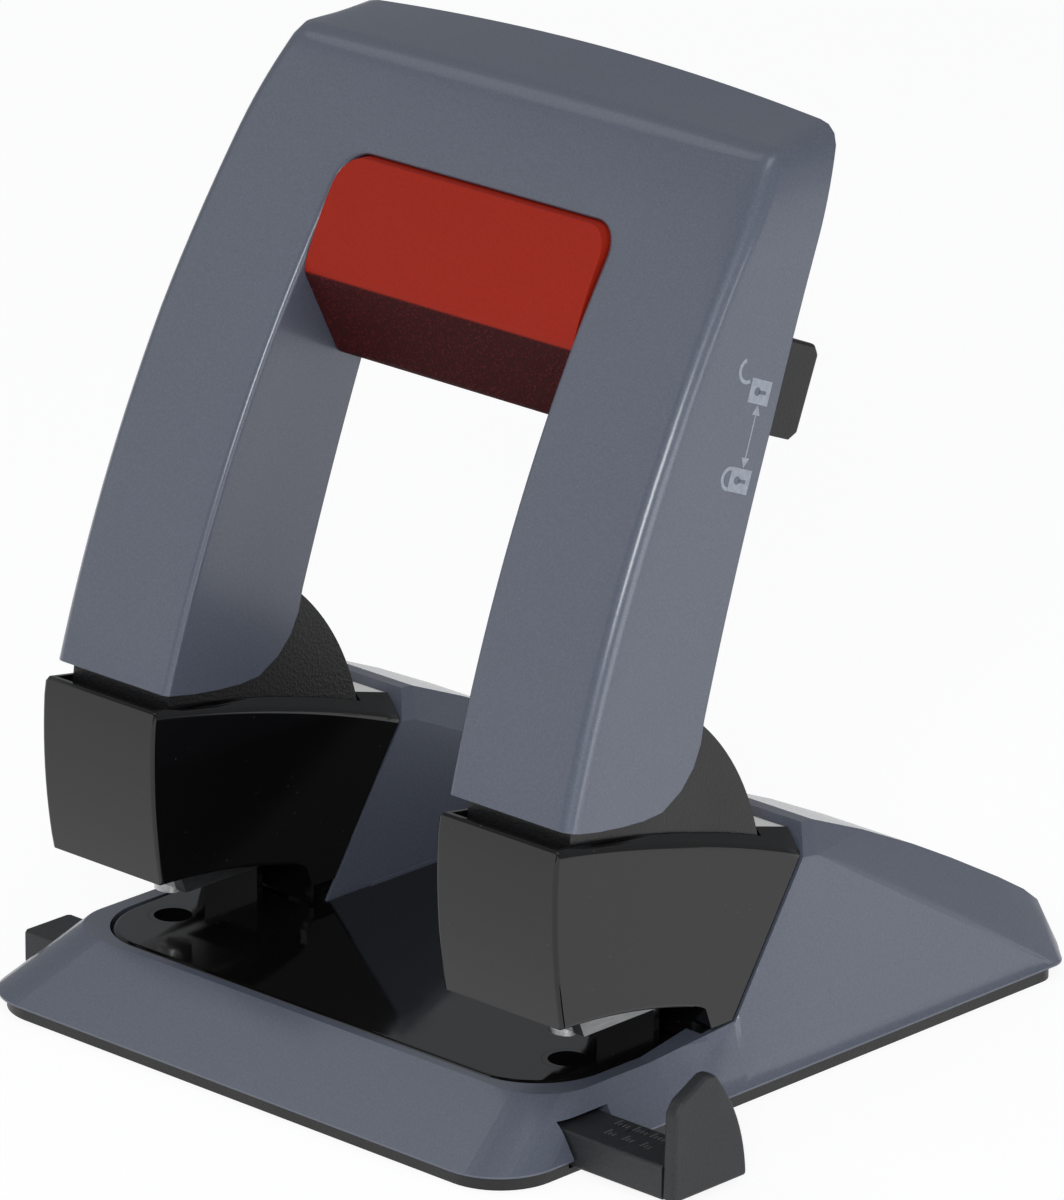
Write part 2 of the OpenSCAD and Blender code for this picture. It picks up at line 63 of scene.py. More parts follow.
MIX_COLOURS = (6, 7)
MIX_RESULT = 2
WHITE = (1.0, 1.0, 1.0, 1.0)

Pair = tuple[float, float]
Trio = tuple[float, float, float]
Colour = Trio
Piece = bpy.types.Object
Socket = bpy.types.NodeSocket
Number = Union["Val", float]
Shade = Union[Colour, Socket]
Station = tuple[Pair, Pair]
EdgeTest = Callable[[Vector, Vector, float], bool]


# -------- shader maths

class Val:
    """A number socket that can be used in Python arithmetic."""

    def __init__(self, shop: "NodeShop", socket: Socket) -> None:
        """Keeps the node shop and the socket that holds the number."""
        self.shop = shop
        self.socket = socket

    def _math(self, operation: str, *values: Number) -> "Val":
        """Adds one Math node.

        Args:
            operation: Name of the Math node's operation.
            values: Its inputs, in order.

        Returns:
            The node's result.
        """
        made = self.shop.make("Math", {"operation": operation},
                              dict(enumerate(values)))
        return Val(self.shop, made.outputs[0])

    def __add__(self, other: Number) -> "Val":
        """This number plus another."""
        return self._math("ADD", self, other)

    def __radd__(self, other: float) -> "Val":
        """A plain number plus this one."""
        return self._math("ADD", other, self)

    def __sub__(self, other: Number) -> "Val":
        """This number less another."""
        return self._math("SUBTRACT", self, other)

    def __rsub__(self, other: float) -> "Val":
        """A plain number less this one."""
        return self._math("SUBTRACT", other, self)

    def __mul__(self, other: Number) -> "Val":
        """This number times another."""
        return self._math("MULTIPLY", self, other)

    def __rmul__(self, other: float) -> "Val":
        """A plain number times this one."""
        return self._math("MULTIPLY", other, self)

    def step(self, low: float, high: float) -> "Val":
        """0 below low, 1 above high, and smooth between.

        Args:
            low: Where the rise starts.
            high: Where it ends. It may be below low for a fall.

        Returns:
            The smooth step.
        """
        made = self.shop.make("MapRange", {"interpolation_type": "SMOOTHSTEP"},
                              {"Value": self, "From Min": low, "From Max": high})
        return Val(self.shop, made.outputs["Result"])


class NodeShop:
    """Makes the nodes of one material or world."""

    def __init__(self, name: str, world: bool = False) -> None:
        """Starts an empty node tree.

        Args:
            name: The material's or the world's name.
            world: True for a world.
        """
        self.owner = (bpy.data.worlds if world else bpy.data.materials).new(name)
        self.owner.use_nodes = True
        self.tree = self.owner.node_tree
        self.tree.nodes.clear()
        self.out = self.make("OutputWorld" if world else "OutputMaterial")
        self._place: Optional[Socket] = None

    def make(self, kind: str, settings: Optional[dict] = None,
             sockets: Optional[dict] = None) -> bpy.types.Node:
        """Makes one node.

        Args:
            kind: The node's type, without its ShaderNode.
            settings: Its own settings, set first.
            sockets: Values or links of its inputs, by name or number.

        Returns:
            The node.
        """
        made = self.tree.nodes.new("ShaderNode" + kind)
        for key, value in (settings or {}).items():
            setattr(made, key, value)
        for key, value in (sockets or {}).items():
            target = made.inputs[key]
            if isinstance(value, Val):
                value = value.socket
            if isinstance(value, Socket):
                self.tree.links.new(value, target)
            else:
                target.default_value = value
        return made

    @property
    def place(self) -> Socket:
        """The object coordinates, made once."""
        if self._place is None:
            self._place = self.make("TexCoord").outputs["Object"]
        return self._place

    def stretched(self, scale: Sequence[float]) -> Socket:
        """Scales the object coordinates along each axis."""
        return self.make("Mapping", {},
                         {"Vector": self.place, "Scale": tuple(scale)}).outputs[0]

    def axis(self, letter: str) -> Val:
        """Takes one object coordinate, in metres."""
        made = self.make("SeparateXYZ", {}, {0: self.place})
        return Val(self, made.outputs[letter])

    def noise(self, size: float, detail: float = 3.0, rough: float = 0.5,
              where: Optional[Socket] = None) -> Val:
        """Fractal noise from 0 to 1.

        Args:
            size: Size of its largest lumps, in metres.
            detail: How many octaves it has.
            rough: How strong the small octaves are.
            where: Coordinates, or the object's own.

        Returns:
            The noise.
        """
        made = self.make("TexNoise", {},
                         {"Vector": where or self.place, "Scale": 1.0 / size,
                          "Detail": detail, "Roughness": rough})
        return Val(self, made.outputs[0])

    def cells(self, size: float) -> Val:
        """Distance to the nearest cell centre, for grains and flecks.

        Args:
            size: Size of a cell, in metres.

        Returns:
            The distance, in cells.
        """
        made = self.make("TexVoronoi", {}, {"Vector": self.place, "Scale": 1.0 / size})
        return Val(self, made.outputs["Distance"])

    def mix(self, mask: Number, low: Shade, high: Shade) -> Socket:
        """Mixes two colours.

        Args:
            mask: 0 for the first, 1 for the second.
            low: The first colour.
            high: The second colour.

        Returns:
            The mixed colour.
        """
        ends = {slot: shade if isinstance(shade, Socket) else (*shade, 1.0)
                for slot, shade in zip(MIX_COLOURS, (low, high))}
        made = self.make("Mix", {"data_type": "RGBA"}, {"Factor": mask, **ends})
        return made.outputs[MIX_RESULT]

    def bump(self, height: Val, depth: float, under: Optional[Socket] = None) -> Socket:
        """Bumps the surface.

        Args:
            height: The relief, from 0 to 1.
            depth: Its depth, in metres.
            under: A normal that this one is added to.

        Returns:
            The normal.
        """
        sockets: dict = {"Height": height, "Distance": depth}
        if under is not None:
            sockets["Normal"] = under
        return self.make("Bump", {}, sockets).outputs[0]

    def surface(self, **sockets: object) -> bpy.types.Material:
        """Ends the material with a Principled surface.

        Args:
            sockets: Values or links, with _ for a space in the socket's name.

        Returns:
            The material.
        """
        named = {key.replace("_", " "): value for key, value in sockets.items()}
        self.end(self.make("BsdfPrincipled", {}, named))
        return self.owner

    def blend(self, mask: Union[Val, Socket], low: bpy.types.Node,
              high: bpy.types.Node) -> None:
        """Ends the tree with a mix of two shaders.

        Args:
            mask: 0 for the first, 1 for the second.
            low: The first shader.
            high: The second shader.
        """
        self.end(self.make("MixShader", {},
                           {0: mask, 1: low.outputs[0], 2: high.outputs[0]}))

    def end(self, shader: bpy.types.Node) -> None:
        """Links the last shader to the tree's output."""
        self.tree.links.new(shader.outputs[0], self.out.inputs[0])


# -------- finishes

def scaled(colour: Colour, by: float) -> Colour:
    """Makes a colour lighter or darker."""
    return (colour[0] * by, colour[1] * by, colour[2] * by)


@dataclass(frozen=True)
class Finish:
    """What every finish has: its material's name and main colour. Sizes are in metres."""

    name: str
    base: Colour

    def tones(self, shop: NodeShop, mask: Number, low: float, high: float) -> Socket:
        """Scales the main colour by low where the mask is 0, and by high where it is 1."""
        return shop.mix(mask, scaled(self.base, low), scaled(self.base, high))


@dataclass(frozen=True)
class SatinPaint(Finish):
    """Satin paint with fine metal flecks, painted in as light glints, over moulded plastic."""

    fleck: float = 0.00032
    rough: float = 0.42

    def material(self) -> bpy.types.Material:
        """Builds the paint."""
        shop = NodeShop(self.name)
        cloud = shop.noise(0.012, 3.0)
        fine = shop.noise(self.fleck, 2.0, 0.7)
        # Painted highlight: the metal flecks are painted as glints, about twice as light as
        # the paint.
        glint = shop.cells(self.fleck * 1.7).step(0.24, 0.06)
        body = self.tones(shop, fine.step(0.3, 0.7), 0.9, 1.1)
        body = shop.mix(cloud.step(0.3, 0.7) * 0.1, body, scaled(self.base, 1.2))
        body = shop.mix(glint * 0.3, body, scaled(self.base, 2.1))
        peel = shop.noise(0.0009, 2.0, 0.45)
        return shop.surface(
            Base_Color=body, Roughness=fine * 0.1 + (self.rough - 0.05) + cloud * 0.04,
            Metallic=0.12, Coat_Weight=0.8, Coat_Roughness=0.17,
            Normal=shop.bump(peel, 0.000012))


@dataclass(frozen=True)
class GlossPlastic(Finish):
    """Polished plastic with faint wipe marks and a little dust."""

    rough: float = 0.05
    dust: float = 0.5

    def material(self) -> bpy.types.Material:
        """Builds the plastic."""
        shop = NodeShop(self.name)
        wipe = shop.noise(0.02, 4.0, 0.6, shop.stretched((1.0, 2.6, 1.4)))
        speck = shop.cells(0.0016).step(0.09, 0.03) * shop.noise(0.009, 2.0).step(0.5, 0.66)
        haze = shop.noise(0.006, 3.0)
        body = shop.mix(speck * self.dust, self.base, (0.16, 0.16, 0.16))
        ripple = shop.noise(0.012, 1.0, 0.3)
        return shop.surface(
            Base_Color=body,
            Roughness=wipe.step(0.35, 0.8) * 0.05 + haze * 0.02 + self.rough + speck * 0.3,
            Normal=shop.bump(ripple, 0.00001))


@dataclass(frozen=True)
class MouldedPlastic(Finish):
    """Spark-eroded moulded plastic, with rubbed patches."""

    rough: float = 0.5
    grain: float = 0.00045
    depth: float = 0.00003

    def material(self) -> bpy.types.Material:
        """Builds the plastic."""
        shop = NodeShop(self.name)
        pit = shop.cells(self.grain)
        rub = shop.noise(0.015, 3.0).step(0.35, 0.75)
        fine = shop.noise(self.grain * 0.8, 2.0)
        body = self.tones(shop, fine.step(0.35, 0.7), 0.82, 1.25)
        body = shop.mix(rub * 0.25, body, scaled(self.base, 1.6))
        return shop.surface(
            Base_Color=body, Roughness=self.rough - rub * 0.07 + fine * 0.08,
            Normal=shop.bump(pit, self.depth))


@dataclass(frozen=True)
class TwoPartGrip(Finish):
    """Smooth satin plastic above an edge, and coarse grip texture below it."""

    under: Colour
    edge_z: float

    def material(self) -> bpy.types.Material:
        """Builds the grip's plastic."""
        shop = NodeShop(self.name)
        below = shop.axis("Z").step(self.edge_z + 0.0002, self.edge_z - 0.0003)
        grain = shop.cells(0.0007)
        dots = grain.step(0.45, 0.2)
        # Painted highlight: the sparkle is tiny glints painted into the coarse part's colour,
        # in a lighter red.
        sparkle = shop.cells(0.0005).step(0.2, 0.08)
        fine = shop.noise(0.0004, 2.0)
        smooth = self.tones(shop, fine.step(0.3, 0.7), 0.95, 1.06)
        coarse = shop.mix(dots, scaled(self.under, 0.6), scaled(self.under, 1.4))
        coarse = shop.mix(sparkle * 0.5, coarse, scaled(self.base, 1.2))
        sheen = shop.noise(0.01, 3.0)
        relief = dots * below
        return shop.surface(
            Base_Color=shop.mix(below, smooth, coarse),
            Roughness=below * 0.2 + 0.46 + sheen * 0.06 + fine * 0.04,
            Specular_IOR_Level=0.22,
            Normal=shop.bump(relief, 0.00012, shop.bump(fine, 0.000008)))


@dataclass(frozen=True)
class BrushedMetal(Finish):
    """Ground or drawn steel with streaks along one axis."""

    rough: float = 0.28
    along: Trio = (1.0, 12.0, 12.0)

    def material(self) -> bpy.types.Material:
        """Builds the steel."""
        shop = NodeShop(self.name)
        streak = shop.noise(0.004, 4.0, 0.65, shop.stretched(self.along))
        stain = shop.noise(0.008, 3.0)
        body = self.tones(shop, streak.step(0.3, 0.7), 0.85, 1.1)
        body = shop.mix(stain.step(0.45, 0.75) * 0.3, body, scaled(self.base, 0.6))
        return shop.surface(
            Base_Color=body, Metallic=1.0,
            Roughness=streak * 0.16 + self.rough + stain.step(0.5, 0.8) * 0.12,
            Normal=shop.bump(streak, 0.000015))


@dataclass(frozen=True)
class SoftRubber(Finish):
    """Matt rubber with a dusty bloom."""

    def material(self) -> bpy.types.Material:
        """Builds the rubber."""
        shop = NodeShop(self.name)
        bloom = shop.noise(0.004, 4.0, 0.6)
        pit = shop.cells(0.0005)
        body = shop.mix(bloom.step(0.4, 0.75) * 0.6, self.base, scaled(self.base, 2.2))
        return shop.surface(Base_Color=body, Roughness=bloom * 0.12 + 0.74,
                            Normal=shop.bump(pit, 0.00004))


@dataclass(frozen=True)
class MarkInk(Finish):
    """Printed light ink, a little uneven."""

    def material(self) -> bpy.types.Material:
        """Builds the ink."""
        shop = NodeShop(self.name)
        worn = shop.noise(0.0008, 3.0, 0.7)
        body = self.tones(shop, worn.step(0.3, 0.8), 0.82, 1.08)
        return shop.surface(Base_Color=body, Roughness=worn * 0.1 + 0.45,
                            Normal=shop.bump(worn, 0.00001))


class Coat(Enum):
    """The finishes of the punch."""

    SHELL = SatinPaint("shell_satin_paint", (0.119, 0.136, 0.184))
    GLOSS = GlossPlastic("gloss_black_plastic", (0.0052, 0.005, 0.0052))
    MATT = MouldedPlastic("matt_black_plastic", (0.01, 0.01, 0.0112), 0.4)
    GUIDE = MouldedPlastic("dark_grey_plastic", (0.026, 0.027, 0.03), 0.5)
    GRIP = TwoPartGrip("red_grip_plastic", (0.42, 0.021, 0.007), (0.085, 0.008, 0.009), 0.1093)
    STEEL = BrushedMetal("bright_steel", (0.6, 0.6, 0.61))
    BLANK = BrushedMetal("sheet_steel", (0.26, 0.265, 0.27), 0.34, (9.0, 1.0, 9.0))
    RUBBER = SoftRubber("foot_rubber", (0.022, 0.022, 0.023))
    SCALE = MarkInk("scale_mark_ink", (0.1, 0.11, 0.11))
    INK = MarkInk("light_mark_ink", (0.46, 0.5, 0.58))


MADE: dict[Coat, bpy.types.Material] = {}


def paint(piece: Piece, coat: Coat) -> None:
    """Gives a piece one finish all over.

    Args:
        piece: The piece.
        coat: Its finish.
    """
    if coat not in MADE:
        MADE[coat] = coat.value.material()
    piece.data.materials.clear()
    piece.data.materials.append(MADE[coat])


# -------- shaping

def only(piece: Piece) -> None:
    """Selects one piece alone and makes it active."""
    bpy.ops.object.select_all(action="DESELECT")
    piece.select_set(True)
    bpy.context.view_layer.objects.active = piece


@contextmanager
def editing(piece: Piece, select: str = "SELECT") -> Iterator[None]:
    """Holds one piece in edit mode.

    Args:
        piece: The piece.
        select: What is done to the selection first, or "" to leave it as it is.

    Yields:
        Nothing.
    """
    only(piece)
    bpy.ops.object.mode_set(mode="EDIT")
    if select:
        bpy.ops.mesh.select_all(action=select)
    yield
    bpy.ops.object.mode_set(mode="OBJECT")


def face_outward(piece: Piece) -> None:
    """Turns the faces of a closed piece outward."""
    with editing(piece):
        bpy.ops.mesh.normals_make_consistent(inside=False)


def joined(parts: Sequence[Piece], name: str) -> Piece:
    """Joins parts to one named piece.

    Args:
        parts: The parts.
        name: The piece's name.

    Returns:
        The piece.
    """
    only(parts[0])
    for part in parts:
        part.select_set(True)
    bpy.ops.object.join()
    parts[0].name = parts[0].data.name = name
    return parts[0]


@dataclass(frozen=True)
class Round:
    """One pass of edge rounding.

    Attributes:
        radius: Radius in millimetres.
        test: Says from an edge's two ends (mm) and its angle (degrees) if it is rounded.
        steps: How many faces the round has.
    """

    radius: float
    test: EdgeTest
    steps: int


def round_edges(piece: Piece, job: Round) -> int:
    """Rounds the edges that a job's test picks.

    Args:
        piece: The piece, with its doubles merged.
        job: What to round, and how much.

    Returns:
        How many edges were rounded.
    """
    mesh = piece.data
    work = bmesh.new()
    work.from_mesh(mesh)
    count = 0
    for edge in work.edges:
        edge.select_set(False)
    for edge in work.edges:
        if len(edge.link_faces) != 2:
            continue
        turn = math.degrees(edge.calc_face_angle_signed(0.0))
        a, b = (v.co / MM for v in edge.verts)
        if job.test(a, b, turn):
            edge.select_set(True)
            count += 1
    work.to_mesh(mesh)
    work.free()
    if count:
        with editing(piece, ""):
            bpy.ops.mesh.select_mode(type="EDGE")
            bpy.ops.mesh.bevel(offset=job.radius * MM, segments=job.steps,
                               affect="EDGES", clamp_overlap=True)
    return count


def cleaned_copy(node: str, name: str) -> Piece:
    """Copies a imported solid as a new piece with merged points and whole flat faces.

    Args:
        node: The solid's name.
        name: The new piece's name.

    Returns:
        The new piece.
    """
    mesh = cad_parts[node].data.copy()
    mesh.name = name
    piece = bpy.data.objects.new(name, mesh)
    bpy.context.scene.collection.objects.link(piece)
    with editing(piece):
        bpy.ops.mesh.remove_doubles(threshold=MERGE)
        bpy.ops.mesh.dissolve_limited(angle_limit=FLAT)
        bpy.ops.mesh.select_all(action="DESELECT")
    return piece


def smooth(piece: Piece, angle: float = 32.0) -> None:
    """Shades a piece smooth up to an angle, with flat faces kept flat.

    Args:
        piece: The piece.
        angle: The largest smooth angle, in degrees.
    """
    only(piece)
    bpy.ops.object.shade_smooth_by_angle(angle=math.radians(angle), keep_sharp_edges=False)
    weigh = piece.modifiers.new("even shading", "WEIGHTED_NORMAL")
    weigh.keep_sharp = True
    bpy.ops.object.modifier_apply(modifier=weigh.name)


def finish_piece(piece: Piece, coat: Coat, slot: str, body: str, *nodes: str) -> None:
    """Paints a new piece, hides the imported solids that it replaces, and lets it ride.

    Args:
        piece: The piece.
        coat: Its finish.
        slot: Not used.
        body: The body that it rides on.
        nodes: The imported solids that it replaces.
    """
    paint(piece, coat)
    if nodes:
        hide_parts(*nodes)
    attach(piece, body)
    LOG.info("%s: %d faces, rides on %s", piece.name, len(piece.data.polygons), body)


def rounded_solid(node: str, name: str, jobs: Sequence[Round], coat: Coat, slot: str,
                  body: str, before: Optional[Callable[[Piece], None]] = None) -> None:
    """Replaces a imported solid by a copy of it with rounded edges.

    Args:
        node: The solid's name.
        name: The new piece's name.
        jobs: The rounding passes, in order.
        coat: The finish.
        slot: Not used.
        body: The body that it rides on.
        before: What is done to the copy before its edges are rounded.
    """
    piece = cleaned_copy(node, name)
    if before:
        before(piece)
    counts = [round_edges(piece, job) for job in jobs]
    LOG.info("%s: rounded %s edges of %s", name, counts, node)
    smooth(piece)
    finish_piece(piece, coat, slot, body, node)


def dress(coat: Coat, *nodes: str) -> None:
    """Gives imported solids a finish.

    Args:
        coat: The finish.
        nodes: The solids' names.
    """
    for node in nodes:
        paint(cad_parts[node], coat)
        LOG.info("%s: kept, finish %s", node, coat.name)


class Side(Enum):
    """The two sides of the punch."""

    LEFT = -1
    RIGHT = 1

    @property
    def word(self) -> str:
        """The side's name in lower case."""
        return self.name.lower()


# -------- sub-assemblies

def blend_pairs(a: Pair, b: Pair, share: float) -> Pair:
    """Finds the point at a share of the way from a to b."""
    return (a[0] + (b[0] - a[0]) * share, a[1] + (b[1] - a[1]) * share)


def arch(a: Pair, b: Pair, rise: float, share: float) -> Pair:
    """Finds a point on a shallow arch from a to b.

    Args:
        a: Where the arch starts.
        b: Where it ends.
        rise: How far its middle stands to the left of the chord.
        share: How far along the chord the point is.

    Returns:
        The point.
    """
    across, up = b[0] - a[0], b[1] - a[1]
    length = math.hypot(across, up)
    lift = rise * (1.0 - (2.0 * share - 1.0) ** 2)
    return (a[0] + across * share - up / length * lift,
            a[1] + up * share + across / length * lift)


def taper(z: float, start: float, loss: float, length: float) -> float:
    """Finds how much a wall has come in at a height.

    Args:
        z: The height.
        start: The height where the wall starts to come in.
        loss: How much it comes in over the length.
        length: The height of the tapered part.

    Returns:
        How much it has come in.
    """
    return (z - start) * loss / length


@dataclass
class HoopHousing:
    """The painted hoop: two legs and a top, open at the back and at the feet.

    Sizes are in millimetres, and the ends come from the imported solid's box. The foot and
    front pairs are y and z. The crown pairs are counted inward from the half width and
    down from the top. The tapers are what taper() takes.
    """

    foot_front: Pair = (-12.6, 50.5)
    foot_low: Pair = (5.5, 48.5)
    foot_back: Pair = (15.1, 60.2)
    foot_split: float = 0.6
    foot_rises: Pair = (0.5, 2.4)
    foot_height: float = 22.0
    front_top: Pair = (33.0, 138.6)
    front_rise: float = 5.0
    back_rise: float = 1.836
    back_level: float = 118.0
    flare: float = 0.2
    leg_taper: Trio = (40.0, 1.3, 61.0)
    shoulder_in: float = 1.1
    shoulder_taper: Trio = (101.0, 1.2, 25.0)
    leg_top: float = 121.5
    leg_end: float = 123.7
    side_top: Pair = (2.3, 126.0)
    crown_bend: Pair = (3.8, 6.3)
    crown_rim: Pair = (8.9, 1.7)
    crown_rises: Trio = (-0.2, -1.5, -0.4)
    rim_share: float = 0.4
    opening_half: float = 28.7
    opening_taper: Trio = (30.0, 2.3, 91.5)
    opening_top: float = 125.5
    opening_corner: float = 4.0
    wall: float = 1.3
    edge_round: float = 2.3
    edge_steps: int = 6
    opening_round: float = 1.1
    clear_walls: Pair = (28.62, 51.4)
    clear_below: float = 54.5
    clear_from: float = -6.0
    merge: float = 0.02
    smooth_angle: float = 40.0
    leg_rows: int = 20
    corner_rows: int = 22
    top_rows: int = 7
    face_shares: tuple[float, ...] = (0.0, 0.22, 0.42, 0.6, 0.78, 1.0)
    wall_shares: tuple[float, ...] = (0.0, 0.2, 0.36, 0.5, 0.62, 0.73, 0.83, 0.92, 1.0)

    def __post_init__(self) -> None:
        """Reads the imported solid's box."""
        low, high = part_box("handle_shell")
        self.half = high.x / MM - self.flare + taper(low.z / MM, *self.leg_taper)
        self.crown = high.z / MM
        self.back_top = (high.y / MM, self.crown)
        self.bend, self.rim = ((self.half - inward, self.crown - down)
                               for inward, down in (self.crown_bend, self.crown_rim))
        self.face_columns = len(self.face_shares) - 1
        self.wall_columns = len(self.wall_shares) - 1

    def front_y(self, z: float) -> float:
        """Finds the depth of the front face at a height, by halving."""
        low, high = 0.0, 1.0
        for _ in range(24):
            share = (low + high) / 2
            if arch(self.foot_front, self.front_top, self.front_rise, share)[1] < z:
                low = share
            else:
                high = share
        return arch(self.foot_front, self.front_top, self.front_rise, low)[0]

    def back_y(self, z: float) -> float:
        """Finds the depth of the back edge at a height."""
        share = (z - self.foot_back[1]) / (self.back_top[1] - self.foot_back[1])
        straight = self.foot_back[0] + (self.back_top[0] - self.foot_back[0]) * share
        return straight - self.back_rise * (1.0 - (2.0 * share - 1.0) ** 2)

    def outer_x(self, z: float) -> float:
        """Finds the half width of the legs at a height."""
        if z < self.shoulder_taper[0]:
            return self.half + self.flare - taper(z, *self.leg_taper)
        return self.half - self.shoulder_in - taper(z, *self.shoulder_taper)

    def inner_x(self, z: float) -> float:
        """Finds the half width of the opening at a height."""
        return self.opening_half - taper(z, *self.opening_taper)

    def top_arch(self, share: float) -> Pair:
        """Finds a point on the top, at a share of the way from its rim to the middle."""
        return arch(self.rim, (0.0, self.crown), self.crown_rises[2], share)

    def outer_path(self) -> list[Pair]:
        """Lists the outline in x and z from the top of the leg to the start of the top."""
        side = (self.half - self.side_top[0], self.side_top[1])
        path = [(self.outer_x(z), z) for z in (self.leg_top, self.leg_end)]
        for a, b, rise, steps in ((side, self.bend, self.crown_rises[0], 6),
                                  (self.bend, self.rim, self.crown_rises[1], 10)):
            path += [arch(a, b, rise, i / steps) for i in range(steps)]
        path += [self.top_arch(i / 20) for i in range(round(self.rim_share * 20) + 1)]
        return path

    @staticmethod
    def along(path: list[Pair], share: float) -> Pair:
        """Finds the point at a share of a path's length."""
        steps = [math.dist(a, b) for a, b in zip(path, path[1:])]
        left = share * sum(steps)
        for (a, b), step in zip(zip(path, path[1:]), steps):
            if left <= step:
                return blend_pairs(a, b, left / step)
            left -= step
        return path[-1]

    def stations(self) -> list[Station]:
        """Lists matched inner and outer points, from the left foot over to the right."""
        right: list[Station] = []
        foot = self.foot_front[1]
        for i in range(self.leg_rows):
            z = foot + (self.leg_top - foot) * i / self.leg_rows
            right.append(((self.inner_x(z), z), (self.outer_x(z), z)))
        path = self.outer_path()
        middle = self.inner_x(self.leg_top) - self.opening_corner
        for i in range(self.corner_rows + 1):
            turn = math.pi / 2 * i / self.corner_rows
            inner = (middle + self.opening_corner * math.cos(turn),
                     self.leg_top + self.opening_corner * math.sin(turn))
            right.append((inner, self.along(path, i / self.corner_rows)))
        for i in range(1, self.top_rows + 1):
            share = i / self.top_rows
            z = self.top_arch(self.rim_share + (1.0 - self.rim_share) * share)[1]
            right.append(((middle * (1.0 - share), self.opening_top),
                          (path[-1][0] * (1.0 - share), z)))
        left = [((-a[0], a[1]), (-b[0], b[1])) for a, b in right[:-1]]
        return left + right[::-1]

    def foot_curve(self, share: float) -> Pair:
        """Finds a point of the foot's outline in y and z, from front to back."""
        split = self.foot_split
        toe, heel = self.foot_rises
        if share < split:
            return arch(self.foot_low, self.foot_front, toe, 1.0 - share / split)
        return arch(self.foot_back, self.foot_low, heel,
                    1.0 - (share - split) / (1.0 - split))

    def wall_point(self, outline: Pair, share: float, outer: bool) -> Vector:
        """Finds a point on a side wall.

        Args:
            outline: The station's outline point, in x and z.
            share: 0 at the front edge, 1 at the back edge.
            outer: True for the outside, False for the opening.

        Returns:
            The point, in millimetres.
        """
        x, z = outline
        front_z = min(z, self.front_top[1])
        front = (self.front_y(front_z), front_z)
        foot = self.foot_front[1]
        up = min(1.0, max(0.0, (z - foot) / (self.back_level - foot)))
        back_z = z + (self.foot_back[1] - foot) * (1.0 - up)
        back = (self.back_y(back_z), back_z)
        y, height = blend_pairs(front, back, share)
        ease = max(0.0, 1.0 - (z - foot) / self.foot_height) ** 2
        if ease > 0.0:
            start = blend_pairs(self.foot_front, self.foot_back, share)
            curve = self.foot_curve(share)
            y += (curve[0] - start[0]) * ease
            height += (curve[1] - start[1]) * ease
        if z < self.leg_top:
            x = math.copysign(self.outer_x(height) if outer else self.inner_x(height), x)
        return Vector((x, y, height))

    def point(self, station: Station, column: int) -> Vector:
        """Finds a point of the skin.

        Args:
            station: Its inner and outer outline points.
            column: Counted from the opening's back edge round to the outer back edge.

        Returns:
            The point, in millimetres.
        """
        inner, outer = station
        if column < self.wall_columns:
            return self.wall_point(inner, self.wall_shares[self.wall_columns - column], False)
        column -= self.wall_columns
        if column > self.face_columns:
            return self.wall_point(outer, self.wall_shares[column - self.face_columns], True)
        share = self.face_shares[column]
        top = (outer[0], min(outer[1], self.front_top[1]))
        x, z = blend_pairs(inner, top, share)
        return Vector((x, self.front_y(z), z))

    def shape(self) -> Piece:
        """Models the skin from a grid, rounds its two front edges and gives it a wall.

        Returns:
            The housing.
        """
        rows = self.stations()
        across = self.face_columns + 2 * self.wall_columns
        bpy.ops.mesh.primitive_grid_add(x_subdivisions=across,
                                        y_subdivisions=len(rows) - 1, size=2.0)
        piece = bpy.context.active_object
        piece.name = piece.data.name = "handle_housing"
        for vertex in piece.data.vertices:
            column = round((vertex.co.x + 1.0) / 2.0 * across)
            row = round((vertex.co.y + 1.0) / 2.0 * (len(rows) - 1))
            vertex.co = self.point(rows[row], column) * MM
        self.round_front(piece, across + 1)
        with editing(piece):
            bpy.ops.mesh.remove_doubles(threshold=self.merge * MM)
            bpy.ops.mesh.normals_make_consistent(inside=False)
            bpy.ops.mesh.select_all(action="DESELECT")
        thick = piece.modifiers.new("wall", "SOLIDIFY")
        thick.thickness = self.wall * MM
        thick.offset = -1.0
        bpy.ops.object.modifier_apply(modifier=thick.name)
        self.clear_heads(piece)
        return piece

    def round_front(self, piece: Piece, wide: int) -> None:
        """Rounds both front edges of the skin.

        Args:
            piece: The grid, already in place.
            wide: How many vertices each of its rows has.
        """
        sizes = {self.wall_columns: self.opening_round,
                 self.wall_columns + self.face_columns: self.edge_round}
        work = bmesh.new()
        work.from_mesh(piece.data)
        layer = work.edges.layers.float.new("bevel_weight_edge")
        for edge in work.edges:
            first, last = (vertex.index % wide for vertex in edge.verts)
            if first == last and first in sizes:
                edge[layer] = sizes[first] / self.edge_round
        work.to_mesh(piece.data)
        work.free()
        only(piece)
        soften = piece.modifiers.new("front edges", "BEVEL")
        soften.limit_method = "WEIGHT"
        soften.width = self.edge_round * MM
        soften.segments = self.edge_steps
        soften.use_clamp_overlap = False
        bpy.ops.object.modifier_apply(modifier=soften.name)

    def clear_heads(self, piece: Piece) -> None:
        """Thins the side walls inside the feet, where they come down over the heads."""
        inner, outer = self.clear_walls
        for vertex in piece.data.vertices:
            across, depth, height = (abs(vertex.co.x) / MM, vertex.co.y / MM, vertex.co.z / MM)
            if (height < self.clear_below and depth > self.clear_from
                    and inner < across < outer):
                nearest = inner if across < (inner + outer) / 2 else outer
                vertex.co.x = math.copysign(nearest, vertex.co.x) * MM

    def build(self) -> None:
        """Builds and dresses the housing."""
        piece = self.shape()
        only(piece)
        bpy.ops.object.shade_smooth_by_angle(angle=math.radians(self.smooth_angle))
        finish_piece(piece, Coat.SHELL, "grey_shell", "handle", "handle_shell")


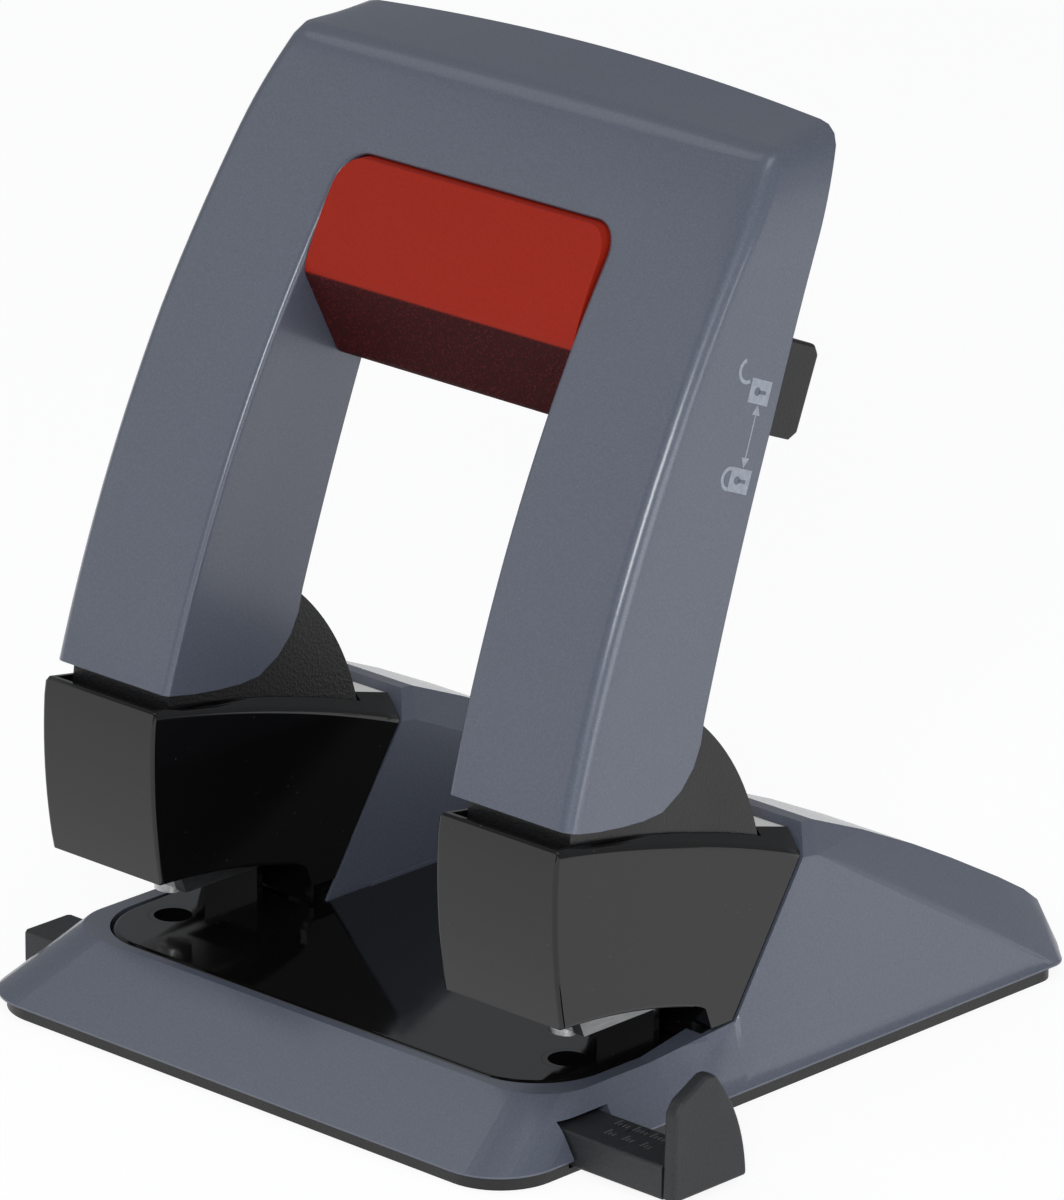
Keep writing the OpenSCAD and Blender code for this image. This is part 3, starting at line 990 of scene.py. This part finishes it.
@dataclass
class Handle:
    """The hoop handle with its grip, back panel and fixings."""

    grip_round: float = 1.6
    grip_width: float = 20.0
    grip_top: float = 112.0

    def grip_edge(self, a: Vector, b: Vector, turn: float) -> bool:
        """Picks the grip's long lower edges."""
        return (turn > CREASE and abs(a.x - b.x) > self.grip_width
                and max(a.z, b.z) < self.grip_top)

    def build(self) -> None:
        """Builds and dresses the handle."""
        housing = HoopHousing()
        housing.build()
        LockMarks(housing).build()
        rounded_solid("grip_insert", "grip", [Round(self.grip_round, self.grip_edge, 6)],
                      Coat.GRIP, "red_grip", "handle")
        dress(Coat.SHELL, "handle_back")
        dress(Coat.STEEL, "handle_tube", "handle_screws", "lever_left", "lever_right")
        dress(Coat.MATT, "sector_left", "sector_right")


@dataclass
class Heads:
    """The two glossy heads with their frames, pins and springs."""

    inner_x: float = 28.4
    outer_x: float = 51.6
    step_top: float = 16.5
    step_front: float = 15.0
    front_y: float = -11.5
    front_lengths: Pair = (15.0, 24.0)
    pin_stroke: float = 5.0
    coil_smooth: float = 70.0

    def side_edge(self, a: Vector, b: Vector, turn: float) -> bool:
        """Picks the outline of a cover's two sides, but not its short steps."""
        on_side = any(abs(abs(a.x) - x) < 0.03 and abs(abs(b.x) - x) < 0.03
                      for x in (self.inner_x, self.outer_x))
        low_step = max(a.z, b.z) < self.step_top and max(a.y, b.y) > self.step_front
        return on_side and turn > CREASE and not low_step

    def front_edge(self, a: Vector, b: Vector, turn: float) -> bool:
        """Picks the edges that run across the front of a cover."""
        least, most = self.front_lengths
        return (turn > CREASE and max(a.y, b.y) < self.front_y and abs(a.x - b.x) > least
                and (a - b).length < most)

    def coil(self, word: str) -> None:
        """Copies one side's return spring, shades it smooth, and lets it ride on its punch
        with a mesh of its own.
        """
        node = f"return_spring_{word}"
        spring = cleaned_copy(node, f"coil_{word}")
        smooth(spring, self.coil_smooth)
        finish_piece(spring, Coat.STEEL, "steel", f"punch_{word}", node)
        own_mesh(spring)
        LOG.info("%s: gets shorter with its pin", spring.name)

    def build(self) -> None:
        """Builds and dresses both heads."""
        for side in Side:
            word = side.word
            rounded_solid(f"head_cover_{word}", f"head_shell_{word}", [
                Round(0.6, self.side_edge, 4),
                Round(0.5, self.front_edge, 3),
            ], Coat.GLOSS, "gloss_black", "base")
            dress(Coat.BLANK, f"frame_plates_{word}", f"pin_carrier_{word}",
                  f"pin_guide_{word}")
            # Painted shade: the steel dies are dressed in black gloss, so that the holes in
            # the table read dark.
            dress(Coat.GLOSS, f"die_{word}")
            dress(Coat.STEEL, f"punch_pin_{word}", f"pin_clip_{word}", f"pivot_pin_{word}")
            self.coil(word)
        dress(Coat.STEEL, "frame_rivets")


@dataclass
class Base:
    """The cover, the cutting table, and what lies under them."""

    edge_round: float = 1.0
    table_round: float = 1.2
    relax: int = 60
    edge_turn: float = 14.0
    skirt: float = 2.5
    deck: float = 10.2
    lip: float = -13.4
    rim_above: float = 9.9
    die_x: float = 40.0
    die_clear: float = 6.0
    flank_x: float = 47.3
    flank_y: Pair = (-2.5, 91.0)
    flank_z: float = 2.4
    low_y: Pair = (23.0, 50.0)
    low_z: Pair = (4.5, 9.5)
    panel_x: Pair = (28.4, 29.0)
    panel_rear: float = 29.98
    panel_foot: Pair = (20.7, 9.5)
    panel_top: Pair = (26.25, 17.98)

    def outside(self, a: Vector, b: Vector, turn: float) -> bool:
        """Picks the cover's outer edges."""
        mid = (a + b) / 2
        outer = mid.z > self.deck or abs(mid.x) > self.flank_x or mid.y < self.lip
        return turn > self.edge_turn and mid.z > self.skirt and outer

    def table_edge(self, a: Vector, b: Vector, turn: float) -> bool:
        """Picks the table's upper edge, but not the die holes."""
        mid = (a + b) / 2
        near_die = math.hypot(abs(mid.x) - self.die_x, mid.y) < self.die_clear
        return turn > SHARP and min(a.z, b.z) > self.rim_above and not near_die

    def on_flank(self, face: bmesh.types.BMFace) -> bool:
        """Picks the faces of the cover's two flanks, below the ramps' facets."""
        mid = face.calc_center_median() / MM
        outward = face.normal.x if mid.x > 0.0 else -face.normal.x
        front, back = self.low_y
        low = mid.y < front or (mid.y < back and self.low_z[0] < mid.z < self.low_z[1])
        shoulder = outward > 0.25 and low and face.normal.z > -0.1
        ramp = outward > 0.6 and abs(face.normal.z) < 0.25
        inside = (abs(mid.x) > self.flank_x and mid.z > self.flank_z
                  and self.flank_y[0] < mid.y < self.flank_y[1])
        return (shoulder or ramp) and inside

    def soften_flanks(self, piece: Piece) -> None:
        """Cuts the flanks into a fine net and relaxes it, so that they flow into the slope.

        Args:
            piece: The cover's copy.
        """
        cuts = [(Vector((0.0, y, 0.0)), Vector((0.0, 1.0, 0.0))) for y in range(-1, 92, 2)]
        cuts += [(Vector((0.0, 0.0, z)), Vector((0.0, 0.0, 1.0))) for z in range(5, 34, 2)]
        with editing(piece, ""):
            bpy.ops.mesh.select_mode(type="FACE")
            for place, normal in cuts:
                self.select(piece, "faces", self.on_flank)
                bpy.ops.mesh.bisect(plane_co=place * MM, plane_no=normal)
            bpy.ops.mesh.select_mode(type="VERT")
            self.select(piece, "verts", lambda vertex: vertex.link_faces and all(
                self.on_flank(face) for face in vertex.link_faces))
            bpy.ops.mesh.vertices_smooth(factor=0.5, repeat=self.relax, yaxis=False,
                                         zaxis=False)
            bpy.ops.mesh.select_all(action="DESELECT")

    @staticmethod
    def select(piece: Piece, kind: str, test: Callable[[object], bool]) -> None:
        """Selects the faces or verts that pass a test, in edit mode."""
        bpy.ops.mesh.select_all(action="DESELECT")
        work = bmesh.from_edit_mesh(piece.data)
        for item in getattr(work, kind):
            if test(item):
                item.select_set(True)
        bmesh.update_edit_mesh(piece.data)

    def close_pockets(self) -> None:
        """Fills the gap behind each head's foot, flush with the ramp's inner face."""
        for side in Side:
            bpy.ops.mesh.primitive_cube_add(size=1.0)
            panel = bpy.context.active_object
            panel.name = panel.data.name = f"pocket_panel_{side.word}"
            for vertex in panel.data.vertices:
                far, rear, high = (value > 0.0 for value in vertex.co)
                y, z = self.panel_top if high else self.panel_foot
                vertex.co = Vector((side.value * self.panel_x[far],
                                    self.panel_rear if rear else y, z)) * MM
            face_outward(panel)
            finish_piece(panel, Coat.SHELL, "grey_shell", "base")

    def build(self) -> None:
        """Builds and dresses the base."""
        rounded_solid("base_cover", "base_housing",
                      [Round(self.edge_round, self.outside, 4)],
                      Coat.SHELL, "grey_shell", "base", self.soften_flanks)
        rounded_solid("cutting_table", "table_top",
                      [Round(self.table_round, self.table_edge, 4)],
                      Coat.GLOSS, "gloss_black", "base")
        self.close_pockets()
        dress(Coat.BLANK, "base_plate")
        dress(Coat.STEEL, "base_screws", "tray_hinge_pins")
        dress(Coat.GLOSS, "paper_stops")
        dress(Coat.MATT, "guide_rail")


@dataclass
class Tray:
    """The chip tray and its pads."""

    def build(self) -> None:
        """Builds and dresses the tray."""
        rounded_solid("chip_tray", "tray", [
            Round(0.4, lambda a, b, t: t > SHARP and max(a.z, b.z) < 0.05, 3),
        ], Coat.MATT, "matt_black", "tray")
        dress(Coat.RUBBER, "rubber_pads")


@dataclass
class Guide:
    """The sliding paper guide.

    A row of ticks has its y, its first x and how many ticks are in a group.
    """

    tick_rows: tuple[tuple[float, float, int], ...] = ((-6.4, 55.2, 4), (-9.8, 56.4, 3))
    group_gap: float = 3.4
    tick_gap: float = 0.72
    tick_lengths: Pair = (1.7, 0.9)
    tick_width: float = 0.3
    tick_height: float = 0.1
    tick_round: float = 0.03

    def build(self) -> None:
        """Builds and dresses the guide."""
        rounded_solid("guide_bar", "guide_slide", [
            Round(0.4, lambda a, b, t: t > 40.0 and abs(a.x - b.x) > 20.0, 3),
        ], Coat.GUIDE, "dark_grey", "guide")
        rounded_solid("guide_stop", "guide_plate", [
            Round(0.6, lambda a, b, t: t > SHARP, 4),
        ], Coat.GUIDE, "dark_grey", "guide")
        self.scale_marks()

    def scale_marks(self) -> None:
        """Two rows of small raised ticks on the bar, in groups, as one piece."""
        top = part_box("guide_bar")[1].z
        parts = []
        for y, start, count in self.tick_rows:
            for group in range(3):
                for step in range(count):
                    x = start + group * self.group_gap + step * self.tick_gap
                    tall = self.tick_lengths[step > 0]
                    bpy.ops.mesh.primitive_cube_add(
                        size=1.0, location=(x * MM, (y + tall / 2) * MM, top),
                        scale=(self.tick_width * MM, tall * MM, self.tick_height * MM))
                    bpy.ops.object.transform_apply()
                    parts.append(bpy.context.active_object)
        marks = joined(parts, "guide_scale")
        with editing(marks):
            bpy.ops.mesh.bevel(offset=self.tick_round * MM, segments=1, affect="EDGES")
        finish_piece(marks, Coat.SCALE, "dark_grey", "guide")


@dataclass
class LockMarks:
    """Two printed padlocks and a double arrow on the right leg, by the lock slider.

    Sizes and places are in millimetres, and places are in y and z.
    """

    leg: HoopHousing
    proud: float = 0.035
    sunk: float = 0.3
    open_body: Pair = (26.96, 105.79)
    closed_body: Pair = (22.51, 93.83)
    body_size: Pair = (4.3, 3.5)
    body_turn: float = -22.0
    shackles: tuple[tuple[Pair, float, float, float], ...] = (
        ((24.57845, 109.39), 1.6, 95.0, 285.0), ((20.41, 94.63), 1.5, 68.0, 248.0))
    arrow: tuple[Pair, Pair] = ((23.37, 95.83), (26.36, 103.73))
    head_radius: float = 0.95
    shackle_half: float = 0.27
    line_width: float = 0.22
    hole_radius: float = 0.62
    hole_slot: Pair = (1.5, 0.55)
    parts: list[Piece] = field(default_factory=list)

    def keep(self, turn: float = 0.0) -> None:
        """Turns the new primitive in its own plane and keeps it for the joined piece."""
        piece = bpy.context.active_object
        if turn:
            piece.rotation_euler = (math.radians(turn), 0.0, 0.0)
        bpy.ops.object.transform_apply()
        self.parts.append(piece)

    def block(self, at: Pair, size: Pair, turn: float) -> None:
        """Adds a flat rectangle.

        Args:
            at: Its middle.
            size: Its sides along y and z, before it is turned.
            turn: Its turn, in degrees.
        """
        bpy.ops.mesh.primitive_cube_add(size=1.0, location=(0.0, at[0] * MM, at[1] * MM),
                                        scale=(MM, size[0] * MM, size[1] * MM))
        self.keep(turn)

    def disc(self, at: Pair, radius: float, corners: int, turn: float = 0.0) -> None:
        """Adds a flat disc or triangle.

        Args:
            at: Its middle.
            radius: Its radius.
            corners: How many corners it has.
            turn: Degrees from y to its first corner.
        """
        bpy.ops.mesh.primitive_cylinder_add(
            vertices=corners, radius=radius * MM, depth=MM, rotation=(0.0, math.pi / 2, 0.0),
            location=(0.0, at[0] * MM, at[1] * MM))
        bpy.ops.object.transform_apply(location=False, rotation=True, scale=False)
        self.keep(turn)

    def shackle(self, at: Pair, radius: float, first: float, last: float) -> None:
        """Adds a flat arc.

        Args:
            at: The arc's middle.
            radius: The arc's radius.
            first: Where it starts, in degrees from y towards z.
            last: Where it ends.
        """
        bpy.ops.mesh.primitive_grid_add(x_subdivisions=1, y_subdivisions=14, size=2.0)
        piece = bpy.context.active_object
        for vertex in piece.data.vertices:
            turn = math.radians(first + (last - first) * (vertex.co.y + 1.0) / 2.0)
            reach = radius + self.shackle_half * vertex.co.x
            vertex.co = Vector((0.0, at[0] + reach * math.cos(turn),
                                at[1] + reach * math.sin(turn))) * MM
        with editing(piece):
            bpy.ops.mesh.extrude_region_move(TRANSFORM_OT_translate={"value": (-MM, 0.0, 0.0)})
        self.parts.append(piece)

    def build(self) -> None:
        """Adds the marks, joins them and lays them on the leg's side."""
        for body in (self.open_body, self.closed_body):
            self.block(body, self.body_size, self.body_turn)
        for shackle in self.shackles:
            self.shackle(*shackle)
        low, high = self.arrow
        lean = math.degrees(math.atan2(high[0] - low[0], high[1] - low[1]))
        self.block(blend_pairs(low, high, 0.5),
                   (self.line_width, math.dist(low, high) - 1.2), -lean)
        self.disc(blend_pairs(low, high, 0.92), self.head_radius, 3, 90.0 - lean)
        self.disc(blend_pairs(low, high, 0.08), self.head_radius, 3, 270.0 - lean)
        self.lay("lock_marks", self.proud, Coat.INK)
        for body in (self.open_body, self.closed_body):
            self.disc((body[0] - 0.55, body[1] + 0.2), self.hole_radius, 20)
            self.block((body[0] + 0.45, body[1] - 0.2), self.hole_slot, self.body_turn)
        self.lay("lock_keyholes", 1.7 * self.proud, Coat.SHELL)

    def lay(self, name: str, proud: float, coat: Coat) -> None:
        """Joins the kept parts and lays them on the leg's side.

        Args:
            name: The joined piece's name.
            proud: How far it stands out, in millimetres.
            coat: Its finish.
        """
        marks = joined(self.parts, name)
        self.parts = []
        for vertex in marks.data.vertices:
            face = self.leg.outer_x(vertex.co.z / MM)
            vertex.co.x = (face + (proud if vertex.co.x > -0.1 * MM else -self.sunk)) * MM
        face_outward(marks)
        finish_piece(marks, coat, "grey_shell", "handle")


@dataclass
class Lock:
    """The lock slider and its rod."""

    def build(self) -> None:
        """Builds and dresses the lock."""
        rounded_solid("lock_button", "lock_slider", [
            Round(0.5, lambda a, b, t: t > SHARP and min(a.y, b.y) > 34.0, 3),
        ], Coat.MATT, "matt_black", "lock")
        dress(Coat.STEEL, "lock_rod")


# -------- studio

@dataclass(frozen=True)
class Softbox:
    """A square lamp.

    Attributes:
        name: Its name.
        at: Its place, in metres.
        size: Its side, in metres.
        power: Its power, in watts.
    """

    name: str
    at: Trio
    size: float
    power: float


@dataclass
class Studio:
    """Floor, lamps, world and camera."""

    camera_at: Trio = (0.892299, -0.910204, 0.519689)
    azimuth: float = 43.40
    elevation: float = 19.43
    roll: float = 0.39
    lens: float = 284.06
    shift: Pair = (4.5 / 1200.0, -5.3 / 1200.0)
    clip: Pair = (0.05, 20.0)
    lamps: tuple[Softbox, ...] = (
        Softbox("lamp_front", (0.62, -0.8, 0.56), 0.3, 3.7),
        Softbox("lamp_right", (0.7, -0.02, 0.08), 0.4, 1.15),
        Softbox("lamp_left", (-0.8, -0.75, 0.5), 0.8, 0.9),
        Softbox("lamp_high", (-0.62, -0.09, 0.95), 0.4, 0.36),
        Softbox("lamp_over", (0.14, -0.17, 1.1), 0.4, 0.9),
    )
    target: Trio = (0.0, 0.03, 0.06)
    fill_colour: Colour = (0.93, 0.96, 1.0)
    fill: float = 0.3
    floor_size: float = 6.0
    floor_grey: Colour = (0.88, 0.88, 0.88)
    floor_glow: float = 1.12
    floor_share: float = 0.8

    def camera(self) -> None:
        """Makes the camera."""
        turn, rise = math.radians(self.azimuth), math.radians(self.elevation)
        back = Vector((math.sin(turn) * math.cos(rise), -math.cos(turn) * math.cos(rise),
                       math.sin(rise)))
        bpy.ops.object.camera_add(location=self.camera_at)
        eye = bpy.context.active_object
        eye.name = "studio_camera"
        eye.rotation_mode = "QUATERNION"
        roll = Matrix.Rotation(math.radians(self.roll), 3, "Z").to_quaternion()
        eye.rotation_quaternion = (-back).to_track_quat("-Z", "Y") @ roll
        eye.data.lens = self.lens
        eye.data.shift_x, eye.data.shift_y = self.shift
        eye.data.clip_start, eye.data.clip_end = self.clip
        bpy.context.scene.camera = eye

    def light(self) -> None:
        """Makes the softboxes, all aimed at the middle of the punch."""
        for box in self.lamps:
            bpy.ops.object.light_add(type="AREA", location=box.at)
            lamp = bpy.context.active_object
            lamp.name = box.name
            lamp.data.shape = "SQUARE"
            lamp.data.size = box.size
            lamp.data.energy = box.power
            lamp.rotation_mode = "QUATERNION"
            aim = Vector(self.target) - Vector(box.at)
            lamp.rotation_quaternion = aim.to_track_quat("-Z", "Y")

    def world(self) -> None:
        """Makes the world: white to the camera, and a plain fill to everything else."""
        shop = NodeShop("studio_world", world=True)
        bpy.context.scene.world = shop.owner
        rays = shop.make("LightPath").outputs
        fill = shop.make("Background", {},
                         {"Color": (*self.fill_colour, 1.0), "Strength": self.fill})
        white = shop.make("Background", {}, {"Color": WHITE})
        shop.blend(rays["Is Camera Ray"], fill, white)

    def floor(self) -> None:
        """Makes a pale floor that keeps the shadow and shows nearly white."""
        bpy.ops.mesh.primitive_plane_add(size=self.floor_size, location=(0.0, 0.0, 0.0))
        ground = bpy.context.active_object
        ground.name = "studio_floor"
        shop = NodeShop("studio_floor_white")
        rays = shop.make("LightPath").outputs
        seen = Val(shop, rays["Is Camera Ray"]) + Val(shop, rays["Is Glossy Ray"])
        matt = shop.make("BsdfDiffuse", {}, {"Color": (*self.floor_grey, 1.0)})
        glow = shop.make("Emission", {},
                         {"Color": WHITE, "Strength": self.floor_glow})
        shop.blend(seen * self.floor_share, matt, glow)
        ground.data.materials.append(shop.owner)

    def build(self) -> None:
        """Sets up the whole studio."""
        bpy.context.scene.view_settings.view_transform = "Standard"
        self.camera()
        self.light()
        self.world()
        self.floor()


def main() -> None:
    """Builds the sub-assemblies in order."""
    logging.basicConfig(level=logging.INFO, format="%(name)s %(message)s")
    Studio().build()
    Base().build()
    Tray().build()
    Guide().build()
    Heads().build()
    Handle().build()
    Lock().build()


if __name__ == "__main__":
    main()
